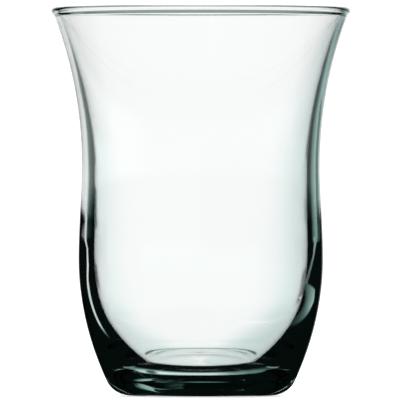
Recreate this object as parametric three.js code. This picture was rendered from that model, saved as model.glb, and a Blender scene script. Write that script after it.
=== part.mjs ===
// Waisted tea glass: one piece of clear pressed-and-blown glass with a flared mouth, a beaded lip,
// a slim waist, a thick-walled belly and a heavy rounded base that stands on a ring.
// Millimetres, +Z up. The origin is the centre of the foot, on the surface that the glass stands on.
import * as THREE from "three";

// Outside of the glass
const height = 85; // foot to the top of the lip
const rimRadius = 32.8; // widest point, on the bead of the lip
const waistRadius = 26.1; // slimmest point above the belly
const waistHeight = 50.5;
const bellyRadius = 26.8; // widest point below the waist
const bellyHeight = 30;
const heelRadius = 5.6; // round edge between the side and the foot
const heelLean = 25; // degrees that the side leans out where it leaves the heel

// Foot
const footRadius = 15.6; // outer edge of the ring that the glass stands on
const recessRadius = 13; // inner edge of that ring
const recessDepth = 0.2; // hollow of the underside at its centre

// Lip
const lipRadius = 0.85; // round bead of the lip
const neckDrop = 1.6; // from the centre of the bead down to the plain wall
const neckWall = 1.45; // wall just under the bead
const flareAngle = 20.5; // degrees that the outside leans out under the bead
const innerFlareAngle = 22.5; // degrees that the inside leans out there

// Inside of the glass
const waistWall = 2.7; // wall at the waist
const innerFlareStart = 48; // height where the inside starts to open
const bowlTop = 37.4; // height where the inside starts to close
const floorHeight = 5.4; // flat floor of the bowl, above the foot
const floorRadius = 9.4; // edge of the flat floor
const cornerRadius = 8.7; // round corner between the floor and the side of the bowl
const cornerLean = 39.4; // degrees that the side of the bowl leans out where it leaves that corner

// Fineness of the facets
const turnSteps = 60;

const slopeOf = (degrees) => Math.tan(THREE.MathUtils.degToRad(degrees));

// A point of the section: distance from the axis and height.
const at = (radius, z) => new THREE.Vector2(radius, z);

// A smooth run of wall between two points. Each slope is the change of radius with height at that end.
function wallRun(start, startSlope, end, endSlope) {
  const third = (end.y - start.y) / 3;
  return new THREE.CubicBezierCurve(
    start,
    at(start.x + startSlope * third, start.y + third),
    at(end.x - endSlope * third, end.y - third),
    end,
  );
}

function roundArc(centre, radius, startAngle, endAngle) {
  const clockwise = endAngle < startAngle;
  return new THREE.EllipseCurve(centre.x, centre.y, radius, radius, startAngle, endAngle, clockwise);
}

// Underside: a shallow hollow, then the flat ring.
function footRuns() {
  const hollowCentre = at(0, recessDepth);
  const ringInside = at(recessRadius, 0);
  const hollow = new THREE.QuadraticBezierCurve(hollowCentre, at(recessRadius / 2, recessDepth), ringInside);
  const ring = new THREE.LineCurve(ringInside, at(footRadius, 0));
  return [
    { curve: hollow, steps: 3 },
    { curve: ring, steps: 1 },
  ];
}

// Outside: round heel, belly, waist and flare, up to the neck under the lip.
function outsideRuns(neck) {
  const lean = THREE.MathUtils.degToRad(heelLean);
  const heel = roundArc(at(footRadius, heelRadius), heelRadius, -Math.PI / 2, -lean);
  const heelTop = heel.getPoint(1);
  const belly = at(bellyRadius, bellyHeight);
  const waist = at(waistRadius, waistHeight);
  return [
    { curve: heel, steps: 5 },
    { curve: wallRun(heelTop, slopeOf(heelLean), belly, 0), steps: 7 },
    { curve: wallRun(belly, 0, waist, 0), steps: 5 },
    { curve: wallRun(waist, 0, neck, slopeOf(flareAngle)), steps: 7 },
  ];
}

// Lip: the wall swells from the neck into a round bead and thins again inside it.
function lipRuns(bead, outerNeck, innerNeck) {
  const outerSide = at(bead.x + lipRadius, bead.y);
  const innerSide = at(bead.x - lipRadius, bead.y);
  return [
    { curve: wallRun(outerNeck, slopeOf(flareAngle), outerSide, 0), steps: 2 },
    { curve: roundArc(bead, lipRadius, 0, Math.PI), steps: 6 },
    { curve: wallRun(innerSide, 0, innerNeck, slopeOf(innerFlareAngle)), steps: 2 },
  ];
}

// Inside: the flare closes to the straight waist, then to the round bowl with its flat floor.
function insideRuns(neck) {
  const innerRadius = waistRadius - waistWall;
  const straightTop = at(innerRadius, innerFlareStart);
  const straightFoot = at(innerRadius, bowlTop);
  const lean = THREE.MathUtils.degToRad(cornerLean);
  const cornerCentre = at(floorRadius, floorHeight + cornerRadius);
  const corner = roundArc(cornerCentre, cornerRadius, -lean, -Math.PI / 2);
  const cornerTop = corner.getPoint(0);
  const floor = new THREE.LineCurve(at(floorRadius, floorHeight), at(0, floorHeight));
  return [
    { curve: wallRun(neck, slopeOf(innerFlareAngle), straightTop, 0), steps: 7 },
    { curve: new THREE.LineCurve(straightTop, straightFoot), steps: 1 },
    { curve: wallRun(straightFoot, 0, cornerTop, slopeOf(cornerLean)), steps: 7 },
    { curve: corner, steps: 4 },
    { curve: floor, steps: 1 },
  ];
}

// The whole section, from the axis under the foot, round the lip, to the axis on the floor of the bowl.
function sectionPoints() {
  const bead = at(rimRadius - lipRadius, height - lipRadius);
  const neckCentre = bead.x - neckDrop * slopeOf(flareAngle);
  const neckHeight = bead.y - neckDrop;
  const outerNeck = at(neckCentre + neckWall / 2, neckHeight);
  const innerNeck = at(neckCentre - neckWall / 2, neckHeight);
  const runs = [
    ...footRuns(),
    ...outsideRuns(outerNeck),
    ...lipRuns(bead, outerNeck, innerNeck),
    ...insideRuns(innerNeck),
  ];
  const points = runs.flatMap(({ curve, steps }) => curve.getPoints(steps).slice(0, -1));
  points.push(at(0, floorHeight));
  return points;
}

const clearGlass = new THREE.MeshStandardMaterial({
  name: "clear_glass",
  color: 0xe3efec,
  roughness: 0.02,
  metalness: 0,
  transparent: true,
  opacity: 0.35,
});

// The section is turned about Y, then stood up so that its axis is Z.
function glassBody() {
  const geometry = new THREE.LatheGeometry(sectionPoints(), turnSteps);
  geometry.rotateX(Math.PI / 2);
  const mesh = new THREE.Mesh(geometry, clearGlass);
  mesh.name = "glass_body";
  return mesh;
}

const teaGlass = new THREE.Group();
teaGlass.add(glassBody());

export default teaGlass;
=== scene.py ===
import math

import bpy
from bpy.props import FloatProperty, FloatVectorProperty, IntProperty, PointerProperty
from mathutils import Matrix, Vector


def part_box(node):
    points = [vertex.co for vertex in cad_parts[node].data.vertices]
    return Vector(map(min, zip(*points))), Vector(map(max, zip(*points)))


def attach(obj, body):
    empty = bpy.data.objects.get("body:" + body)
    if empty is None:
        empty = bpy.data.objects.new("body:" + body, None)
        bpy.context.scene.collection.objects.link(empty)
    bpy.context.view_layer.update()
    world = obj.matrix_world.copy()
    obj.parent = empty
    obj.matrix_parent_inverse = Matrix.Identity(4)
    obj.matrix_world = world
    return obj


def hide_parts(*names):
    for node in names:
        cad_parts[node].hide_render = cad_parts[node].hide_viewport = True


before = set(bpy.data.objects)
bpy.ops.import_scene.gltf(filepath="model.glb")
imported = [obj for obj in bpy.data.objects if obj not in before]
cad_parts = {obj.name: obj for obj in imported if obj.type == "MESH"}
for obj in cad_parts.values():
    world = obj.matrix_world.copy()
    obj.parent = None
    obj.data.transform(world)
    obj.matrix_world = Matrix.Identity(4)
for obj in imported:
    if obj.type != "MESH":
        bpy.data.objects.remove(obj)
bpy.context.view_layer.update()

bl_info = {
    "name": "Tea Glass",
    "version": (1, 0, 0),
    "blender": (4, 5, 0),
    "location": "View3D > Sidebar > Tea Glass",
    "description": "Turns a waisted clear tea glass and sets it in a plain white studio",
    "category": "Object",
}

GLASS_NODE = "glass_body"
GLASS_BODY = "root"
GLASS_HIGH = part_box(GLASS_NODE)[1]
MM = 0.001
DEGREE = math.radians(1.0)

# Turned mesh of the glass
WAVE_SEED = 3.0
WAVE_FADE = 48.0  # points of the section, from the lip to where the waves are full
MERGE_DISTANCE = 1e-6  # closes the seam and the poles

# Polish of the glass
DULL_SCALE = 45.0  # dull patches in a metre
DULL_RANGE = (0.4, 0.8)  # noise at the best polished and at the dullest places

# Colours of the studio
WHITE = (1.0, 1.0, 1.0, 1.0)
STUDIO_SHADE = (0.45, 1.0, 0.9, 1.0)  # tint of the dimmest light
LEFT_GREY = (0.89, 0.955, 0.945, 1.0)  # flags, as clear glass shows them
RIGHT_GREY = (0.77, 0.865, 0.86, 1.0)
LOW_LEFT_GREY = (0.8, 0.89, 0.87, 1.0)  # the same flags, seen down through the bowl
LOW_RIGHT_GREY = (0.66, 0.77, 0.76, 1.0)
LIP_SHADE = (0.3, 0.36, 0.35, 1.0)  # lines of the lip in its middle
LIP_END_SHADE = (0.02, 0.035, 0.03, 1.0)  # lines of the lip at its ends
FLOOR_PAINT = (0.97, 0.97, 0.97, 1.0)
FLOOR_ROUGHNESS = 0.9
FLOOR_GLOW = 0.6

# Soft edges of the studio's light are pairs, and soft bands are fours. Azimuths and rises are in degrees,
# and an azimuth of 0 is straight behind the glass. Distances on the floor are in millimetres.

# White field with grey flags, as clear glass shows it
FLAG_TURN = 45  # half of the turn after which the flags come again
FLAG_FADE = (32, 45)
LEFT_FLAG = (5, 14)
RIGHT_FLAG = (3, 13)
LOW_FIELD = (-15, -6)
LEVEL_FIELD = (-28, -22.5, 10, 18)  # the lip's lines show the shade above and below this
LIP_ENDS = (4, 30)
RIGHT_LIP_END = (20, 26, 39, 44)
RIGHT_LIP_RISE = (-15, -12.5, -5, -3.6)
LEFT_LIP_END = (22, 29, 39, 44)
LEFT_LIP_RISE = (-9.5, -7.5, -3.8, -3.2)

# Panel behind the glass, as its wall reflects it
BACK_LEVEL = 0.97
BACK_LEFT_END = (-34.5, -25)
BACK_LEFT_TAIL = (-46, -30)
BACK_TAIL_SHARE = 0.1
BACK_GREY_EDGE = (0, 9)
BACK_GREY = 0.4
BACK_SLOPE = (20, 44)
BACK_RIGHT_END = (35, 40)
BACK_TOP = (12, 25)
BESIDE_EDGE = (47, 56)
BESIDE_LEFT_LEVEL = 0.55
BESIDE_RIGHT_LEVEL = 0.25

# Long panels and backdrop, as the skin of the glass reflects them
PANEL_CHANGE = (-8, 8)
PANEL_FRONT = (100, 140)
PANEL_TOP = (1.5, 3)
LEFT_PANEL_LEVEL = 0.92
RIGHT_PANEL_LEVEL = 0.49
FRONT_PANEL_LEVEL = 0.25
GLOW_LEFT_END = (8, 26)
GLOW_RIGHT_END = (12, 32)

# Light from above that is caught in the base
TOP_LEVEL = 0.5
TOP_SIDES = (27.2, 28.8, 34, 58)
TOP_RISE = (17, 20, 46, 54)
TRAPPED_RISE = (-6, -1, 30, 40)

# Zones of the floor, by their distance from the axis
CLEAR_NEAR_FLOOR = (52, 68)
CLEAR_NEAR_TURN = 0.36  # most that the flags turn there, in radians
ENTERED_FLOOR = 115
GRAZED_FLOOR = (60, 100)
FAR_FLOOR = (300, 380)

# Pool: lit oval under the glass, with a bright rim, a dark hole on its left and a dim right side
POOL_WIDTH = 16
POOL_DEPTH = 9.4
POOL_RIM = (0.7, 0.84, 0.9, 1.16)  # shares of the oval
POOL_RIM_LEVEL = 0.85
POOL_MIDDLE_LEVEL = 0.35
POOL_HOLE = (-11, -5.4)
POOL_HOLE_EDGE = (0.8, 2.4)
POOL_HOLE_SHADE = 0.85
POOL_DIM_EDGE = (2, 8)
POOL_DIM_SHADE = 0.72

# Strip: thin lit strip behind the left side, which spreads from a point beside the glass
STRIP_LEVEL = 0.95
STRIP_START = -21.5
STRIP_SIDES = (-33.5, -30, -27, -24)
STRIP_ENDS = (28, 46, 230, 280)

# Leaf: lit patch behind the right side, with a clean left edge that bends once, and a soft right side
LEAF_LEVEL = 0.7
LEAF_NEAR_EDGE = 35.3
LEAF_NEAR_SLANT = 0.19
LEAF_FAR_SLANT = 0.55
LEAF_SOFT_EDGE = (-2, 2)
LEAF_SPREAD = 3.6  # width of the soft side over the square of the distance, per metre
LEAF_LEAST_SPREAD = 1
LEAF_ENDS = (30, 95, 160, 182)
LEAF_DIM_EDGE = (120, 165)
LEAF_DIM_SHADE = 0.3

# Arcs: two thin lines beside the pool
ARC_LEVEL = 0.3
ARC_SLANT = 0.288
ARC_SIDES = (17.4, 17.9, 18.3, 18.8)
ARC_ENDS = (-5, -3, 2, 4)

# Side floor: dim light to the left and right of the glass
SIDE_FLOOR_LEVEL = 0.4
SIDE_FLOOR_TURN = (70, 85)
SIDE_FLOOR_START = (40, 60)

# Round floor and cards
ROUND_CORNERS = 96
MOUTH_CARD_RADIUS = 31
MOUTH_CARD_HEIGHT = 84.5
FLAG_BOTTOM = 11
FLAG_SOFTNESS = 0.8
SKIN_FLAG_TOP = (41, 45)
STRIP_SOFTNESS = 1.2  # degrees
BOWL_SCREEN_AHEAD = -10
BOWL_SCREEN_HALF = ((14, 16), (14, 10.4), (12, 8.2), (10, 7.0), (8, 6.2), (5, 5.7), (0, 5.5))

# Camera and light paths
SENSOR_WIDTH = 36.0
CLIP_END = 10.0
LIGHT_BOUNCES = 24
GLOSSY_BOUNCES = 16


def length(name, millimetres, description):
    """A size of the glass or the studio, shown in the scene's own units."""
    return FloatProperty(
        name=name, description=description, default=millimetres * MM, min=0.0, unit="LENGTH", precision=5
    )


def angle(name, degrees, description):
    """A lean of the wall."""
    return FloatProperty(name=name, description=description, default=math.radians(degrees), unit="ROTATION")


def amount(name, value, description):
    """A plain number from 0 up."""
    return FloatProperty(name=name, description=description, default=value, min=0.0)


def count(name, value, description):
    """A number of points."""
    return IntProperty(name=name, description=description, default=value)


class GlassSizes(bpy.types.PropertyGroup):
    """Sizes of the glass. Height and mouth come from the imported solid."""

    height: length("Height", GLASS_HIGH.z / MM, "Foot to the top of the lip")
    rim_radius: length("Rim radius", GLASS_HIGH.x / MM, "Widest point, on the bead of the lip")
    waist_radius: length("Waist radius", 26.1, "Slimmest point above the belly")
    waist_height: length("Waist height", 50.5, "Height of the slimmest point")
    belly_radius: length("Belly radius", 26.8, "Widest point below the waist")
    belly_height: length("Belly height", 30.0, "Height of that widest point")
    heel_radius: length("Heel radius", 5.6, "Round edge between the side and the foot")
    heel_lean: angle("Heel lean", 25.0, "Lean of the side where it leaves the heel")
    foot_radius: length("Foot radius", 15.6, "Outer edge of the ring that the glass stands on")
    recess_radius: length("Recess radius", 13.0, "Inner edge of that ring")
    recess_depth: length("Recess depth", 0.2, "Hollow of the underside at its centre")
    lip_radius: length("Lip radius", 0.85, "Round bead of the lip")
    neck_drop: length("Neck drop", 1.0, "From the centre of the bead down to the plain wall")
    neck_wall: length("Neck wall", 1.05, "Wall just under the bead")
    flare_angle: angle("Flare", 20.5, "Lean of the outside under the bead")
    inner_flare_angle: angle("Inner flare", 22.5, "Lean of the inside under the bead")
    waist_wall: length("Waist wall", 2.7, "Wall at the waist")
    inner_flare_start: length("Inner flare start", 48.0, "Height where the inside starts to open")
    bowl_top: length("Bowl top", 37.4, "Height where the inside starts to close")
    floor_height: length("Floor height", 5.4, "Flat floor of the bowl, above the foot")
    floor_radius: length("Floor radius", 9.4, "Edge of the flat floor")
    corner_radius: length("Corner radius", 8.7, "Round corner between the floor and the side of the bowl")
    corner_lean: angle("Corner lean", 39.4, "Lean of the bowl's side where it leaves that corner")
    waviness: length("Waviness", 0.1, "Unevenness of the blown inside")
    wave_length: length("Wave length", 22.0, "Distance between two waves of the inside")
    run_points: count("Points per run", 24, "Points along each run of the section")
    turn_points: count("Points per turn", 240, "Points round the axis")


class GlassFinish(bpy.types.PropertyGroup):
    """Finish of the clear glass."""

    ior: amount("Refraction", 1.52, "Index of refraction of soda-lime glass")
    tint: FloatVectorProperty(
        name="Tint",
        description="Colour that thick glass turns",
        subtype="COLOR",
        default=(0.25, 0.75, 0.62),
        min=0.0,
        max=1.0,
    )
    tint_density: amount("Tint density", 6.0, "Absorption per metre of glass")
    polish_low: amount("Least roughness", 0.0, "Roughness of the best polished places")
    polish_high: amount("Most roughness", 0.012, "Roughness of the dullest places")
    ripple_height: length("Ripple height", 0.012, "Height of the fine ripple left by the mould")
    ripple_length: length("Ripple length", 9.0, "Distance between two ripples")


class StudioSetup(bpy.types.PropertyGroup):
    """White studio and camera."""

    camera_distance: length("Camera distance", 2200.0, "From the camera to the axis of the glass")
    camera_height: length("Camera height", 42.8, "Height of the level camera")
    camera_offset: length("Camera offset", 0.18, "How far the camera stands left of the axis")
    view_width: length("View width", 87.7, "Width of the picture at the axis")
    floor_radius: length("Floor radius", 2600.0, "Edge of the round floor")
    floor_gap: length("Floor gap", 0.2, "Air between the floor and the foot")
    white: amount("Backdrop", 1.2, "Brightness of the backdrop, seen directly")
    field: amount("Bright field", 1.04, "Brightness of the studio, seen through clear glass")
    dark: amount("Dark field", 0.004, "Brightness of the unlit studio, seen in reflections")


def point(radius, z):
    """A point of the section: distance from the axis and height."""
    return Vector((radius, 0.0, z))


def wall_run(start, start_slope, end, end_slope):
    """Smooth run of wall. Each slope is the change of radius with height at that end."""
    third = (end.z - start.z) / 3
    return (start, start + point(start_slope * third, third), end - point(end_slope * third, third), end)


def straight(start, end):
    """Straight run."""
    return (start, start.lerp(end, 1 / 3), start.lerp(end, 2 / 3), end)


def round_arc(centre, radius, start_angle, end_angle):
    """Arc of up to a quarter circle as one Bezier run."""
    reach = 4 / 3 * math.tan((end_angle - start_angle) / 4) * radius
    start = centre + radius * point(math.cos(start_angle), math.sin(start_angle))
    end = centre + radius * point(math.cos(end_angle), math.sin(end_angle))
    leave = point(-math.sin(start_angle), math.cos(start_angle))
    arrive = point(-math.sin(end_angle), math.cos(end_angle))
    return (start, start + reach * leave, end - reach * arrive, end)


def outside_runs(sizes, neck):
    """Underside, foot ring, heel, belly, waist and flare."""
    hollow = point(0.0, sizes.recess_depth)
    ring = point(sizes.recess_radius, 0.0)
    foot = point(sizes.foot_radius, 0.0)
    heel_centre = foot + point(0.0, sizes.heel_radius)
    heel = round_arc(heel_centre, sizes.heel_radius, -math.pi / 2, -sizes.heel_lean)
    belly = point(sizes.belly_radius, sizes.belly_height)
    waist = point(sizes.waist_radius, sizes.waist_height)
    return [
        (hollow, hollow + point(sizes.recess_radius / 3, 0.0), ring.lerp(hollow, 1 / 3), ring),
        straight(ring, foot),
        heel,
        wall_run(heel[-1], math.tan(sizes.heel_lean), belly, 0.0),
        wall_run(belly, 0.0, waist, 0.0),
        wall_run(waist, 0.0, neck, math.tan(sizes.flare_angle)),
    ]


def lip_runs(sizes, bead, outer_neck, inner_neck):
    """The wall swells from the neck into a round bead and thins again inside it."""
    outer_side = bead + point(sizes.lip_radius, 0.0)
    inner_side = bead - point(sizes.lip_radius, 0.0)
    outer = [
        wall_run(outer_neck, math.tan(sizes.flare_angle), outer_side, 0.0),
        round_arc(bead, sizes.lip_radius, 0.0, math.pi / 2),
    ]
    inner = [
        round_arc(bead, sizes.lip_radius, math.pi / 2, math.pi),
        wall_run(inner_side, 0.0, inner_neck, math.tan(sizes.inner_flare_angle)),
    ]
    return outer, inner


def inside_runs(sizes, neck):
    """Flare, straight waist and round bowl with its flat floor."""
    inner_radius = sizes.waist_radius - sizes.waist_wall
    straight_top = point(inner_radius, sizes.inner_flare_start)
    straight_foot = point(inner_radius, sizes.bowl_top)
    floor_edge = point(sizes.floor_radius, sizes.floor_height)
    corner_centre = floor_edge + point(0.0, sizes.corner_radius)
    corner = round_arc(corner_centre, sizes.corner_radius, -sizes.corner_lean, -math.pi / 2)
    return [
        wall_run(neck, math.tan(sizes.inner_flare_angle), straight_top, 0.0),
        straight(straight_top, straight_foot),
        wall_run(straight_foot, 0.0, corner[0], math.tan(sizes.corner_lean)),
        corner,
        straight(floor_edge, point(0.0, sizes.floor_height)),
    ]


def section_runs(sizes):
    """Runs of the outside, then of the inside, from the axis under the foot to the axis on the floor."""
    bead = point(sizes.rim_radius - sizes.lip_radius, sizes.height - sizes.lip_radius)
    neck = bead - point(sizes.neck_drop * math.tan(sizes.flare_angle), sizes.neck_drop)
    half_wall = point(sizes.neck_wall / 2, 0.0)
    lip_outer, lip_inner = lip_runs(sizes, bead, neck + half_wall, neck - half_wall)
    outside = outside_runs(sizes, neck + half_wall) + lip_outer
    inside = lip_inner + inside_runs(sizes, neck - half_wall)
    return outside, inside


def linked_object(name, data):
    """Object at the origin, in the scene."""
    thing = bpy.data.objects.new(name, data)
    bpy.context.scene.collection.objects.link(thing)
    return thing


def section_object(runs, run_points):
    """Curve object with the half section as one open Bezier spline."""
    curve = bpy.data.curves.new("glass_section", "CURVE")
    curve.dimensions = "3D"
    spline = curve.splines.new("BEZIER")
    spline.resolution_u = run_points
    spline.bezier_points.add(len(runs))
    for index, knot in enumerate(spline.bezier_points):
        knot.handle_left_type = knot.handle_right_type = "FREE"
        before = runs[index - 1] if index else None
        after = runs[index] if index < len(runs) else None
        knot.co = after[0] if after else before[3]
        knot.handle_left = before[2] if before else knot.co
        knot.handle_right = after[1] if after else knot.co
    return linked_object("glass_section", curve)


class Tree:
    """Short forms for building a node tree."""

    def __init__(self, tree):
        self.tree = tree

    def node(self, kind, settings=None, **inputs):
        """A node. Inputs are named by their socket, with _ for a space, and take a socket or a value."""
        node = self.tree.nodes.new(kind)
        for name, value in (settings or {}).items():
            setattr(node, name, value)
        for name, value in inputs.items():
            self.put(node.inputs[name.replace("_", " ")], value)
        return node

    def put(self, socket, value):
        """Links a socket to another one, or gives it a value."""
        if isinstance(value, bpy.types.NodeSocket):
            self.tree.links.new(value, socket)
        else:
            socket.default_value = value

    def math(self, operation, *values):
        node = self.tree.nodes.new("ShaderNodeMath")
        node.operation = operation
        for socket, value in zip(node.inputs, values):
            self.put(socket, value)
        return node.outputs[0]

    def fold(self, operation, first, *others):
        """One operation on any number of values, from the first to the last."""
        for other in others:
            first = self.math(operation, first, other)
        return first

    def times(self, *values):
        return self.fold("MULTIPLY", *values)

    def total(self, *values):
        return self.fold("ADD", *values)

    def most(self, *values):
        return self.fold("MAXIMUM", *values)

    def less(self, value, other):
        return self.math("SUBTRACT", value, other)

    def minus(self, value):
        return self.times(value, -1.0)

    def inverse(self, value):
        return self.less(1.0, value)

    def distance(self, across, ahead):
        return self.math("SQRT", self.total(self.times(across, across), self.times(ahead, ahead)))

    def step(self, value, limits, unit=1.0):
        """0 below the first limit, 1 above the second and a soft slope between them."""
        node = self.node("ShaderNodeMapRange", {"interpolation_type": "SMOOTHSTEP"})
        low, high = limits
        for socket, number in zip(node.inputs, (value, low * unit, high * unit, 0.0, 1.0)):
            self.put(socket, number)
        return node.outputs[0]

    def fall(self, value, limits, unit=1.0):
        """1 below the first limit and 0 above the second."""
        return self.inverse(self.step(value, limits, unit))

    def band(self, value, limits, unit=1.0):
        """0 beyond the two outer limits and 1 between the two inner ones."""
        return self.times(self.step(value, limits[:2], unit), self.fall(value, limits[2:], unit))

    def blend(self, factor, first, second):
        """Colour between two colours."""
        node = self.node("ShaderNodeMix", {"data_type": "RGBA"})
        for name, value in (("Factor_Float", factor), ("A_Color", first), ("B_Color", second)):
            socket = next(entry for entry in node.inputs if entry.identifier == name)
            self.put(socket, value)
        return next(entry for entry in node.outputs if entry.identifier == "Result_Color")

    def scaled(self, colour, strength):
        """Colour times a strength."""
        node = self.node("ShaderNodeVectorMath", {"operation": "SCALE"}, Vector=colour, Scale=strength)
        return node.outputs[0]

    def shade(self, factor, first, second):
        """Shader between two shaders."""
        node = self.node("ShaderNodeMixShader", Fac=factor)
        self.put(node.inputs[1], first)
        self.put(node.inputs[2], second)
        return node.outputs[0]

    def clear(self):
        """Shader that lets light through unchanged."""
        return self.node("ShaderNodeBsdfTransparent").outputs[0]


LATHE_INPUTS = {
    "Turn Points": "NodeSocketInt",
    "Inside From": "NodeSocketInt",
    "Waviness": "NodeSocketFloat",
    "Wave Length": "NodeSocketFloat",
    "Glass": "NodeSocketMaterial",
}


def lathe_tree():
    """Geometry nodes that turn a half section about Z and close it at its seam and poles."""
    tree = bpy.data.node_groups.new("glass_lathe", "GeometryNodeTree")
    tree.is_modifier = True
    tree.interface.new_socket("Section", in_out="INPUT", socket_type="NodeSocketGeometry")
    for name, kind in LATHE_INPUTS.items():
        tree.interface.new_socket(name, in_out="INPUT", socket_type=kind)
    tree.interface.new_socket("Glass Mesh", in_out="OUTPUT", socket_type="NodeSocketGeometry")
    make = Tree(tree)
    given = make.node("NodeGroupInput").outputs

    dotted = make.node("GeometryNodeCurveToPoints", {"mode": "EVALUATED"}, Curve=given["Section"])
    points = dotted.outputs["Points"]
    domain = make.node("GeometryNodeAttributeDomainSize", {"component": "POINTCLOUD"}, Geometry=points)
    rows = domain.outputs["Point Count"]
    columns = make.total(given["Turn Points"], 1)
    grid = make.node("GeometryNodeMeshGrid", Vertices_X=columns, Vertices_Y=rows)

    # The grid is 1 m square about the origin: X gives the turn, and Y the point of the section.
    place = make.node("GeometryNodeInputPosition").outputs[0]
    cell = make.node("ShaderNodeSeparateXYZ", Vector=place).outputs
    turn = make.times(make.total(cell["X"], 0.5), 2 * math.pi)
    row = make.math("ROUND", make.times(make.total(cell["Y"], 0.5), make.less(rows, 1)))
    sample = make.node(
        "GeometryNodeSampleIndex", {"data_type": "FLOAT_VECTOR"}, Geometry=points, Value=place, Index=row
    )
    section = make.node("ShaderNodeSeparateXYZ", Vector=sample.outputs[0]).outputs
    across = make.math("COSINE", turn)
    along = make.math("SINE", turn)

    def turned(radius):
        x = make.times(radius, across)
        y = make.times(radius, along)
        return make.node("ShaderNodeCombineXYZ", X=x, Y=y, Z=section["Z"]).outputs[0]

    wave = make.node(
        "ShaderNodeTexNoise",
        {"noise_dimensions": "4D"},
        Vector=turned(section["X"]),
        W=WAVE_SEED,
        Detail=0.0,
        Scale=make.math("DIVIDE", 1.0, given["Wave Length"]),
    )
    swing = make.times(make.less(wave.outputs["Fac"], 0.5), 2.0)
    inside = make.step(make.less(row, given["Inside From"]), (0.0, WAVE_FADE))
    reach = make.math("DIVIDE", section["X"], GLASS_HIGH.x)
    radius = make.total(section["X"], make.times(swing, inside, reach, given["Waviness"]))

    shaped = make.node("GeometryNodeSetPosition", Geometry=grid.outputs["Mesh"], Position=turned(radius))
    closed = make.node("GeometryNodeMergeByDistance", Geometry=shaped.outputs[0], Distance=MERGE_DISTANCE)
    smooth = make.node("GeometryNodeSetShadeSmooth", Geometry=closed.outputs[0])
    real = make.node("GeometryNodeRealizeInstances", Geometry=smooth.outputs[0])
    glazed = make.node("GeometryNodeSetMaterial", Geometry=real.outputs[0], Material=given["Glass"])
    make.node("NodeGroupOutput", Glass_Mesh=glazed.outputs[0])
    return tree


def set_inputs(modifier, values):
    """Sets a modifier's inputs by the identifiers of their sockets."""
    for item in modifier.node_group.interface.items_tree:
        if item.in_out == "INPUT" and item.name in values:
            modifier[item.identifier] = values[item.name]


def plain_mesh(thing, name):
    """Mesh object with the evaluated shape of a curve object, which is then removed with its modifiers."""
    graph = bpy.context.evaluated_depsgraph_get()
    mesh = bpy.data.meshes.new_from_object(thing.evaluated_get(graph), depsgraph=graph)
    mesh.name = name
    piece = linked_object(name, mesh)
    thing.modifiers.clear()
    curve = thing.data
    bpy.data.objects.remove(thing)
    bpy.data.curves.remove(curve)
    return piece


def bare_material(name):
    """Material without nodes, and short forms for its tree."""
    material = bpy.data.materials.new(name)
    material.use_nodes = True
    material.node_tree.nodes.clear()
    return material, Tree(material.node_tree)


def clear_glass(finish):
    """Clear soda-lime glass: fire-polished, faintly rippled by its mould, green in its thick parts."""
    material, make = bare_material("clear_glass_finish")
    place = make.node("ShaderNodeTexCoord").outputs["Object"]

    dull = make.node("ShaderNodeTexNoise", Vector=place, Scale=DULL_SCALE, Detail=3.0)
    polish = make.node(
        "ShaderNodeMapRange",
        Value=dull.outputs["Fac"],
        From_Min=DULL_RANGE[0],
        From_Max=DULL_RANGE[1],
        To_Min=finish.polish_low,
        To_Max=finish.polish_high,
    )
    ripple = make.node("ShaderNodeTexNoise", Vector=place, Scale=1.0 / finish.ripple_length, Detail=1.0)
    bump = make.node(
        "ShaderNodeBump", Strength=1.0, Distance=finish.ripple_height, Height=ripple.outputs["Fac"]
    )

    glass = make.node("ShaderNodeBsdfPrincipled", Roughness=polish.outputs[0], Normal=bump.outputs[0])
    glass.inputs["Base Color"].default_value = WHITE
    glass.inputs["Metallic"].default_value = 0.0
    glass.inputs["Transmission Weight"].default_value = 1.0
    glass.inputs["IOR"].default_value = finish.ior
    depth = make.node("ShaderNodeVolumeAbsorption")
    depth.inputs["Color"].default_value = (*finish.tint, 1.0)
    depth.inputs["Density"].default_value = finish.tint_density
    make.node("ShaderNodeOutputMaterial", Surface=glass.outputs[0], Volume=depth.outputs[0])
    return material


class GLASS_OT_turn(bpy.types.Operator):
    """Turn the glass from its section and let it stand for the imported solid"""

    bl_idname = "tea_glass.turn_glass"
    bl_label = "Turn the glass"
    bl_options = {"REGISTER", "UNDO"}

    def execute(self, context):
        sizes = context.scene.tea_glass_sizes
        outside, inside = section_runs(sizes)
        section = section_object(outside + inside, sizes.run_points)
        lathe = section.modifiers.new("glass_lathe", "NODES")
        lathe.node_group = lathe_tree()
        values = {
            "Turn Points": sizes.turn_points,
            "Inside From": len(outside) * sizes.run_points,
            "Waviness": sizes.waviness,
            "Wave Length": sizes.wave_length,
            "Glass": clear_glass(context.scene.tea_glass_finish),
        }
        set_inputs(lathe, values)
        glass = plain_mesh(section, "tea_glass")
        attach(glass, GLASS_BODY)
        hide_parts(GLASS_NODE)
        return {"FINISHED"}


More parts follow.
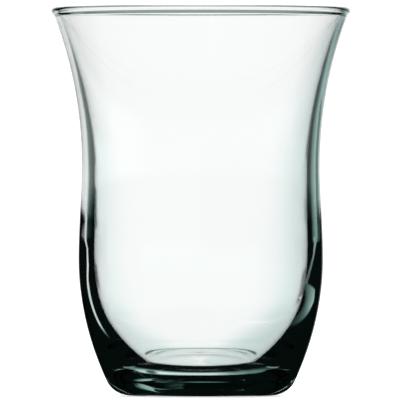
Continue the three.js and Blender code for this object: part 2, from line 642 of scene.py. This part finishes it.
class Bounces:
    """Kinds of ray that leave the glass, as masks for the stage.

    any: reflected at least once. skin: reflected by the outside. wall: reflected once inside the wall.
    across: reflected once after crossing the bowl. trapped: reflected two or three times after that.
    deep: reflected four times or more. entered: came through the bowl's screen or another clear card.
    mouth: what the card in the mouth lights.
    """

    def __init__(self, make):
        path = make.node("ShaderNodeLightPath").outputs
        self.path = path
        self.any = make.math("GREATER_THAN", path["Glossy Depth"], 0.5)
        twice = make.math("GREATER_THAN", path["Glossy Depth"], 1.5)
        self.deep = make.math("GREATER_THAN", path["Glossy Depth"], 3.5)
        once = make.less(self.any, twice)
        outside = make.math("LESS_THAN", path["Transmission Depth"], 0.5)
        crossed = make.math("GREATER_THAN", path["Transmission Depth"], 2.5)
        self.skin = make.times(once, outside)
        self.wall = make.less(once, make.times(once, make.total(outside, crossed)))
        self.across = make.times(once, crossed)
        self.trapped = make.times(crossed, make.less(twice, self.deep))
        self.entered = make.math("GREATER_THAN", path["Transparent Depth"], 0.5)
        self.mouth = make.most(self.wall, make.times(self.any, self.entered))


def reflected(make, bounce, studio, lights):
    """Colour that reflections see. Each kind of ray has its own light, and dimmer light is more teal."""
    lit = [make.times(getattr(bounce, kind), light) for kind, light in lights.items()]
    lit.append(make.times(bounce.across, studio.field))
    strength = make.total(studio.dark, make.total(*lit))
    return make.scaled(make.blend(strength, STUDIO_SHADE, WHITE), strength)


def grey(level):
    """Colour without a tint."""
    return (level, level, level, 1.0)


def side_turn(make, turn):
    """Azimuth within one side of the studio, so that every side has the same flags."""
    return make.math("WRAP", turn, FLAG_TURN * DEGREE, -FLAG_TURN * DEGREE)


def clear_field(make, turn, low, studio):
    """White studio with faint grey flags to the left and right, as seen through clear glass."""
    side = side_turn(make, turn)
    fade = make.fall(make.math("ABSOLUTE", side), FLAG_FADE, DEGREE)
    left = make.times(fade, make.step(make.minus(side), LEFT_FLAG, DEGREE))
    right = make.times(fade, make.step(side, RIGHT_FLAG, DEGREE))
    clear = make.blend(left, WHITE, LEFT_GREY)
    clear = make.blend(right, clear, RIGHT_GREY)
    clear = make.blend(make.times(left, low), clear, LOW_LEFT_GREY)
    clear = make.blend(make.times(right, low), clear, LOW_RIGHT_GREY)
    return make.scaled(clear, studio.field)


def lip_field(make, bounce, turn, rise, studio):
    """Clear field with shade above and below it, which draws the lines of the lip and its dark ends."""
    field = clear_field(make, turn, make.fall(rise, LOW_FIELD, DEGREE), studio)
    level = make.most(make.band(rise, LEVEL_FIELD, DEGREE), bounce.path["Is Diffuse Ray"])
    side = side_turn(make, turn)
    right_end = make.times(make.band(side, RIGHT_LIP_END, DEGREE), make.band(rise, RIGHT_LIP_RISE, DEGREE))
    left_side = make.band(make.minus(side), LEFT_LIP_END, DEGREE)
    left_end = make.times(left_side, make.band(rise, LEFT_LIP_RISE, DEGREE))
    field = make.blend(make.most(right_end, left_end), field, LIP_END_SHADE)
    aside = make.step(make.math("ABSOLUTE", side), LIP_ENDS, DEGREE)
    return make.blend(level, make.blend(aside, LIP_SHADE, LIP_END_SHADE), field)


def back_panel(make, turn):
    """Panel behind the glass, as its wall reflects it: bright on the left, grey on the right."""
    left_end = make.times(1.0 - BACK_TAIL_SHARE, make.step(turn, BACK_LEFT_END, DEGREE))
    left_tail = make.times(BACK_TAIL_SHARE, make.step(turn, BACK_LEFT_TAIL, DEGREE))
    shade = make.inverse(make.times(BACK_GREY, make.step(turn, BACK_GREY_EDGE, DEGREE)))
    slope = make.fall(turn, BACK_SLOPE, DEGREE)
    right_end = make.fall(turn, BACK_RIGHT_END, DEGREE)
    behind = make.times(BACK_LEVEL, make.total(left_end, left_tail), shade, slope, right_end)
    left_side = make.times(BESIDE_LEFT_LEVEL, make.step(make.minus(turn), BESIDE_EDGE, DEGREE))
    right_side = make.times(BESIDE_RIGHT_LEVEL, make.step(turn, BESIDE_EDGE, DEGREE))
    return make.total(behind, left_side, right_side)


def side_panels(make, turn):
    """Long panels beside the glass, as its skin reflects them."""
    right = make.step(turn, PANEL_CHANGE, DEGREE)
    level = make.less(LEFT_PANEL_LEVEL, make.times(LEFT_PANEL_LEVEL - RIGHT_PANEL_LEVEL, right))
    front = make.step(make.math("ABSOLUTE", turn), PANEL_FRONT, DEGREE)
    return make.less(level, make.times(front, make.less(level, FRONT_PANEL_LEVEL)))


def backdrop_glow(make, turn):
    """White backdrop, as the outer edge of the glass reflects it."""
    left = make.fall(make.minus(turn), GLOW_LEFT_END, DEGREE)
    return make.times(left, make.fall(turn, GLOW_RIGHT_END, DEGREE))


class FloorPlace:
    """A place on the floor: to the right of the axis, behind it, away from it and round it."""

    def __init__(self, make):
        place = make.node("ShaderNodeTexCoord").outputs["Object"]
        parts = make.node("ShaderNodeSeparateXYZ", Vector=place).outputs
        self.across = parts["X"]
        self.ahead = parts["Y"]
        self.reach = make.distance(self.across, self.ahead)
        self.turn = make.math("ARCTAN2", self.across, self.ahead)


def pool_light(make, at):
    """Lit oval under the glass."""
    wide = make.math("DIVIDE", at.across, POOL_WIDTH * MM)
    deep = make.math("DIVIDE", at.ahead, POOL_DEPTH * MM)
    oval = make.distance(wide, deep)
    rim = make.times(POOL_RIM_LEVEL, make.band(oval, POOL_RIM))
    middle = make.times(POOL_MIDDLE_LEVEL, make.fall(oval, POOL_RIM[:2]))
    hole_across, hole_ahead = POOL_HOLE
    from_hole = make.distance(make.less(at.across, hole_across * MM), make.less(at.ahead, hole_ahead * MM))
    hole = make.times(POOL_HOLE_SHADE, make.fall(from_hole, POOL_HOLE_EDGE, MM))
    dim = make.times(POOL_DIM_SHADE, make.step(at.across, POOL_DIM_EDGE, MM))
    return make.times(make.total(rim, middle), make.inverse(hole), make.inverse(dim))


def strip_light(make, at):
    """Thin lit strip behind the left side."""
    slant = make.math("ARCTAN2", make.less(at.across, STRIP_START * MM), at.ahead)
    sides = make.band(slant, STRIP_SIDES, DEGREE)
    return make.times(STRIP_LEVEL, sides, make.band(at.reach, STRIP_ENDS, MM))


def leaf_light(make, at):
    """Lit patch behind the right side."""
    near_edge = make.total(make.times(LEAF_NEAR_SLANT, at.ahead), LEAF_NEAR_EDGE * MM)
    edge = make.less(at.across, make.most(near_edge, make.times(LEAF_FAR_SLANT, at.ahead)))
    width = make.total(make.times(LEAF_SPREAD, at.reach, at.reach), LEAF_LEAST_SPREAD * MM)
    fade = make.most(make.inverse(make.math("DIVIDE", edge, width)), 0.0)
    dim = make.inverse(make.times(LEAF_DIM_SHADE, make.step(at.reach, LEAF_DIM_EDGE, MM)))
    ends = make.times(make.band(at.reach, LEAF_ENDS, MM), dim)
    return make.times(LEAF_LEVEL, make.step(edge, LEAF_SOFT_EDGE, MM), fade, ends)


def arc_light(make, at):
    """Two thin lit lines beside the pool."""
    beside = make.less(make.math("ABSOLUTE", at.across), make.times(ARC_SLANT, at.ahead))
    sides = make.band(make.math("ABSOLUTE", beside), ARC_SIDES, MM)
    return make.times(ARC_LEVEL, sides, make.band(at.ahead, ARC_ENDS, MM))


def side_floor_light(make, at, far):
    """Dim light to the left and right of the glass, this side of the far floor."""
    beside = make.step(make.math("ABSOLUTE", at.turn), SIDE_FLOOR_TURN, DEGREE)
    start = make.step(at.reach, SIDE_FLOOR_START, MM)
    return make.times(SIDE_FLOOR_LEVEL, beside, start, make.inverse(far))


def reflected_floor(make, at, bounce, studio):
    """Floor as reflections see it: dark, with lit patches near the glass and the panels' light far away."""
    far = make.step(at.reach, FAR_FLOOR, MM)
    near_light = make.most(
        pool_light(make, at),
        strip_light(make, at),
        leaf_light(make, at),
        arc_light(make, at),
        side_floor_light(make, at, far),
    )
    grazed = make.times(backdrop_glow(make, at.turn), make.step(at.reach, GRAZED_FLOOR, MM))
    lights = {
        "wall": make.total(near_light, make.times(far, back_panel(make, at.turn))),
        "skin": make.most(grazed, make.times(far, side_panels(make, at.turn))),
    }
    return make.node("ShaderNodeEmission", Color=reflected(make, bounce, studio, lights)).outputs[0]


def clear_floor(make, at, bounce, studio):
    """Floor as clear glass shows it: the white field near the glass, and nothing further away."""
    away = make.step(at.reach, CLEAR_NEAR_FLOOR, MM)
    flag_turn = make.math("DIVIDE", make.times(CLEAR_NEAR_TURN, at.across), at.reach)
    colour = make.blend(away, clear_field(make, flag_turn, 1.0, studio), grey(studio.field))
    field = make.node("ShaderNodeEmission", Color=colour).outputs[0]
    entered = make.times(bounce.entered, make.math("LESS_THAN", at.reach, ENTERED_FLOOR * MM))
    return make.shade(make.most(make.inverse(away), entered), make.clear(), field)


def white_floor(studio):
    """Round matt white floor that also glows evenly. Rays that have met the glass see painted light and
    shade on it instead.
    """
    below = (0.0, 0.0, -studio.floor_gap)
    bpy.ops.mesh.primitive_circle_add(
        vertices=ROUND_CORNERS, radius=studio.floor_radius, fill_type="NGON", location=below
    )
    floor = bpy.context.object
    floor.name = "studio_floor"
    material, make = bare_material("matt_white_floor")
    paint = make.node("ShaderNodeBsdfPrincipled", Roughness=FLOOR_ROUGHNESS)
    paint.inputs["Base Color"].default_value = FLOOR_PAINT
    paint.inputs["Specular IOR Level"].default_value = 0.0
    paint.inputs["Emission Color"].default_value = WHITE
    paint.inputs["Emission Strength"].default_value = FLOOR_GLOW

    at = FloorPlace(make)
    bounce = Bounces(make)
    clear = clear_floor(make, at, bounce, studio)
    through = make.shade(bounce.any, clear, reflected_floor(make, at, bounce, studio))
    glassy = make.most(bounce.path["Is Transmission Ray"], bounce.path["Is Glossy Ray"])
    make.node("ShaderNodeOutputMaterial", Surface=make.shade(glassy, paint.outputs[0], through))
    floor.data.materials.append(material)


def card_face(kind):
    """Face of the cards round the glass, which glows with the light given as each card's colour, seen by
    one kind of reflection.
    """
    material, make = bare_material(f"studio_{kind}_card")
    card = make.node("ShaderNodeEmission", Color=make.node("ShaderNodeObjectInfo").outputs["Color"])
    cover = make.node("ShaderNodeAttribute", {"attribute_name": "cover"}).outputs["Fac"]
    opaque = make.times(getattr(Bounces(make), kind), cover)
    make.node("ShaderNodeOutputMaterial", Surface=make.shade(opaque, make.clear(), card.outputs[0]))
    return material


def upright(turn, top):
    """Corners of a flag at an azimuth: solid from its bottom edge, soft at its top edge. Millimetres."""
    return ((turn, FLAG_BOTTOM, 1.0), (turn, top - FLAG_SOFTNESS, 1.0), (turn, top + FLAG_SOFTNESS, 0.0))


def level_row(z, low, high, cover):
    """Corners of a strip at a height in millimetres, soft at both ends. Degrees."""
    return (
        (low - STRIP_SOFTNESS, z, 0.0),
        (low, z, cover),
        (high, z, cover),
        (high + STRIP_SOFTNESS, z, 0.0),
    )


def skin_row(turn, cover):
    """Corners of a flag for the skin at an azimuth, soft at its top edge. Millimetres."""
    solid_top, soft_top = SKIN_FLAG_TOP
    return ((turn, 0, cover), (turn, solid_top, cover), (turn, soft_top, 0))


# Cards round the glass, painted light and shade that only reflections see: kind of reflection that sees
# them, distance in millimetres, level of light and rows of corners.
CARDS = {
    "left_flag": ("wall", 120, 0.004, (
        upright(-80, 31),
        upright(-60, 30.2),
        upright(-44, 29.4),
        upright(-38, 29.0),
        upright(-28, 28.6),
        upright(-20, 28.4),
        upright(0, 28.0),
    )),
    "right_flag": ("wall", 120, 0.004, (
        upright(0, 28),
        upright(18, 28),
        upright(31, 27.8),
        upright(45, 28.3),
        upright(52, 28.5),
        upright(60, 28.8),
        upright(70, 29.1),
        upright(80, 29.5),
    )),
    # painted grey reflection: a dim card that only the wall's reflections see
    "right_post": ("wall", 119, 0.1, (
        level_row(27, 22, 31, 1),
        level_row(37, 22, 31, 1),
        level_row(47, 22, 31, 1),
    )),
    "left_strip": ("wall", 118, 1.0, (
        level_row(11, -40.6, -37, 1),
        level_row(16, -42.6, -38.8, 1),
        level_row(21, -45, -41.6, 1),
        level_row(24, -44.4, -41.6, 0.9),
        level_row(27, -43.6, -41, 0.85),
        level_row(28, -40.5, -36, 0.9),
        level_row(28.6, -39, -33.5, 0.9),
        level_row(29.6, -37.5, -31, 0.9),
    )),
    "right_strip": ("wall", 118, 0.45, (
        level_row(8, 55, 59, 0.35),
        level_row(10.8, 54.5, 58, 0.36),
        level_row(14, 52.5, 56, 0.33),
        level_row(17.7, 50.5, 54, 0.4),
        level_row(21, 47, 50, 0.55),
        level_row(23.8, 42.5, 45.5, 0.75),
        level_row(26, 40, 44.5, 0.85),
        level_row(27.8, 35, 43, 0.9),
        level_row(28.8, 32, 45, 0.9),
    )),
    "left_skin_flag": ("skin", 120, 0.004, (skin_row(-130, 1), skin_row(-26, 1), skin_row(-10, 0))),
    "right_skin_flag": ("skin", 120, 0.004, (skin_row(12, 0), skin_row(32, 1), skin_row(130, 1))),
}


def finish_card(card, level, cover, face):
    """Gives a card its face, its light and its cover at each corner, and hides it from the camera."""
    card.data.attributes.new("cover", "FLOAT", "POINT").data.foreach_set("value", cover)
    card.data.materials.append(face)
    shade = [level * (tint + (1.0 - tint) * level) for tint in STUDIO_SHADE[:3]]
    card.color = (*shade, 1.0)
    card.visible_camera = False
    card.visible_diffuse = False
    card.visible_shadow = False


def studio_card(name, reach, level, rows, face):
    """Card on a cylinder round the glass, joined from its rows of corners: azimuth, height and cover."""
    corners = [corner for row in rows for corner in row]
    places = []
    for turn, z, _ in corners:
        places.append((reach * MM * math.sin(turn * DEGREE), reach * MM * math.cos(turn * DEGREE), z * MM))
    width = len(rows[0])
    faces = []
    for first in range(len(corners) - width):
        if first % width < width - 1:
            faces.append((first, first + width, first + width + 1, first + 1))
    mesh = bpy.data.meshes.new(name)
    mesh.from_pydata(places, [], faces)
    finish_card(linked_object(name, mesh), level, [cover for _, _, cover in corners], face)


def mouth_card(face):
    """Glowing white card in the mouth: painted light, seen by reflections that leave the bowl upwards and
    clear to the camera.
    """
    place = (0.0, 0.0, MOUTH_CARD_HEIGHT * MM)
    bpy.ops.mesh.primitive_circle_add(
        vertices=ROUND_CORNERS, radius=MOUTH_CARD_RADIUS * MM, fill_type="NGON", location=place
    )
    card = bpy.context.object
    card.name = "mouth_card"
    finish_card(card, 1.0, [1.0] * len(card.data.vertices), face)
    card.visible_camera = True


def bowl_screen():
    """Clear screen in the front of the bowl, so that the mouth card knows light that came in through it."""
    edge = list(BOWL_SCREEN_HALF) + [(-x, z) for x, z in reversed(BOWL_SCREEN_HALF[:-1])]
    corners = [(x * MM, BOWL_SCREEN_AHEAD * MM, z * MM) for x, z in edge]
    mesh = bpy.data.meshes.new("bowl_screen")
    mesh.from_pydata(corners, [], [tuple(range(len(corners)))])
    screen = linked_object("bowl_screen", mesh)
    material, make = bare_material("clear_screen")
    make.node("ShaderNodeOutputMaterial", Surface=make.clear())
    screen.data.materials.append(material)
    screen.visible_shadow = False


def studio_cards():
    """Dark flags and lit strips before them that only reflections see, as painted shade and painted
    highlights in the glass, and the cards in the bowl.
    """
    faces = {kind: card_face(kind) for kind in ("wall", "skin", "mouth")}
    for name, (kind, reach, level, rows) in CARDS.items():
        studio_card(name, reach, level, rows, faces[kind])
    mouth_card(faces["mouth"])
    bowl_screen()


def studio_light(studio):
    """White room. Clear glass shows it white with faint flags, reflections show it dark with lit panels."""
    world = bpy.data.worlds.new("white_studio")
    bpy.context.scene.world = world
    world.use_nodes = True
    world.node_tree.nodes.clear()
    make = Tree(world.node_tree)
    way = make.node("ShaderNodeTexCoord").outputs["Generated"]
    parts = make.node("ShaderNodeSeparateXYZ", Vector=way).outputs
    turn = make.math("ARCTAN2", parts["X"], parts["Y"])
    rise = make.math("ARCSINE", parts["Z"])

    bounce = Bounces(make)
    skin_panel = make.times(side_panels(make, turn), make.fall(rise, PANEL_TOP, DEGREE))
    top_sides = make.band(turn, TOP_SIDES, DEGREE)
    lights = {
        "wall": make.times(back_panel(make, turn), make.fall(rise, BACK_TOP, DEGREE)),
        "skin": make.most(skin_panel, backdrop_glow(make, turn)),
        "deep": make.times(TOP_LEVEL, top_sides, make.band(rise, TOP_RISE, DEGREE)),
        "trapped": make.times(studio.field, make.band(rise, TRAPPED_RISE, DEGREE)),
    }
    field = lip_field(make, bounce, turn, rise, studio)
    through = make.blend(bounce.any, field, reflected(make, bounce, studio, lights))
    seen = make.blend(bounce.path["Is Camera Ray"], through, grey(studio.white))
    light = make.node("ShaderNodeBackground", Color=seen)
    make.node("ShaderNodeOutputWorld", Surface=light.outputs[0])


def level_camera(studio):
    """Long lens at the photograph's angle, level with the middle of the glass."""
    camera = bpy.data.cameras.new("studio_camera")
    camera.sensor_width = SENSOR_WIDTH
    camera.lens = SENSOR_WIDTH * studio.camera_distance / studio.view_width
    camera.clip_end = CLIP_END
    stand = linked_object("studio_camera", camera)
    stand.location = (-studio.camera_offset, -studio.camera_distance, studio.camera_height)
    stand.rotation_euler = (math.pi / 2, 0.0, 0.0)
    bpy.context.scene.camera = stand


class GLASS_OT_stage(bpy.types.Operator):
    """Set the white floor, the cards, the studio light and the camera"""

    bl_idname = "tea_glass.set_stage"
    bl_label = "Set the stage"
    bl_options = {"REGISTER", "UNDO"}

    def execute(self, context):
        scene = context.scene
        studio = scene.tea_glass_studio
        white_floor(studio)
        studio_cards()
        studio_light(studio)
        level_camera(studio)
        scene.view_settings.view_transform = "Standard"
        scene.cycles.max_bounces = LIGHT_BOUNCES
        scene.cycles.transmission_bounces = LIGHT_BOUNCES
        scene.cycles.glossy_bounces = GLOSSY_BOUNCES
        return {"FINISHED"}


class GLASS_PT_panel(bpy.types.Panel):
    """Sizes, finish and stage of the glass"""

    bl_idname = "GLASS_PT_panel"
    bl_label = "Tea Glass"
    bl_space_type = "VIEW_3D"
    bl_region_type = "UI"
    bl_category = "Tea Glass"

    def draw(self, context):
        layout = self.layout
        layout.operator(GLASS_OT_turn.bl_idname)
        layout.operator(GLASS_OT_stage.bl_idname)
        for setting in SETTINGS:
            group = getattr(context.scene, setting)
            box = layout.box()
            for name in group.__annotations__:
                box.prop(group, name)


CLASSES = (GlassSizes, GlassFinish, StudioSetup, GLASS_OT_turn, GLASS_OT_stage, GLASS_PT_panel)
SETTINGS = {"tea_glass_sizes": GlassSizes, "tea_glass_finish": GlassFinish, "tea_glass_studio": StudioSetup}


def register():
    for item in CLASSES:
        bpy.utils.register_class(item)
    for name, group in SETTINGS.items():
        setattr(bpy.types.Scene, name, PointerProperty(type=group))


def unregister():
    for name in SETTINGS:
        delattr(bpy.types.Scene, name)
    for item in reversed(CLASSES):
        bpy.utils.unregister_class(item)


def main():
    register()
    bpy.ops.tea_glass.turn_glass()
    bpy.ops.tea_glass.set_stage()


if __name__ == "__main__":
    main()
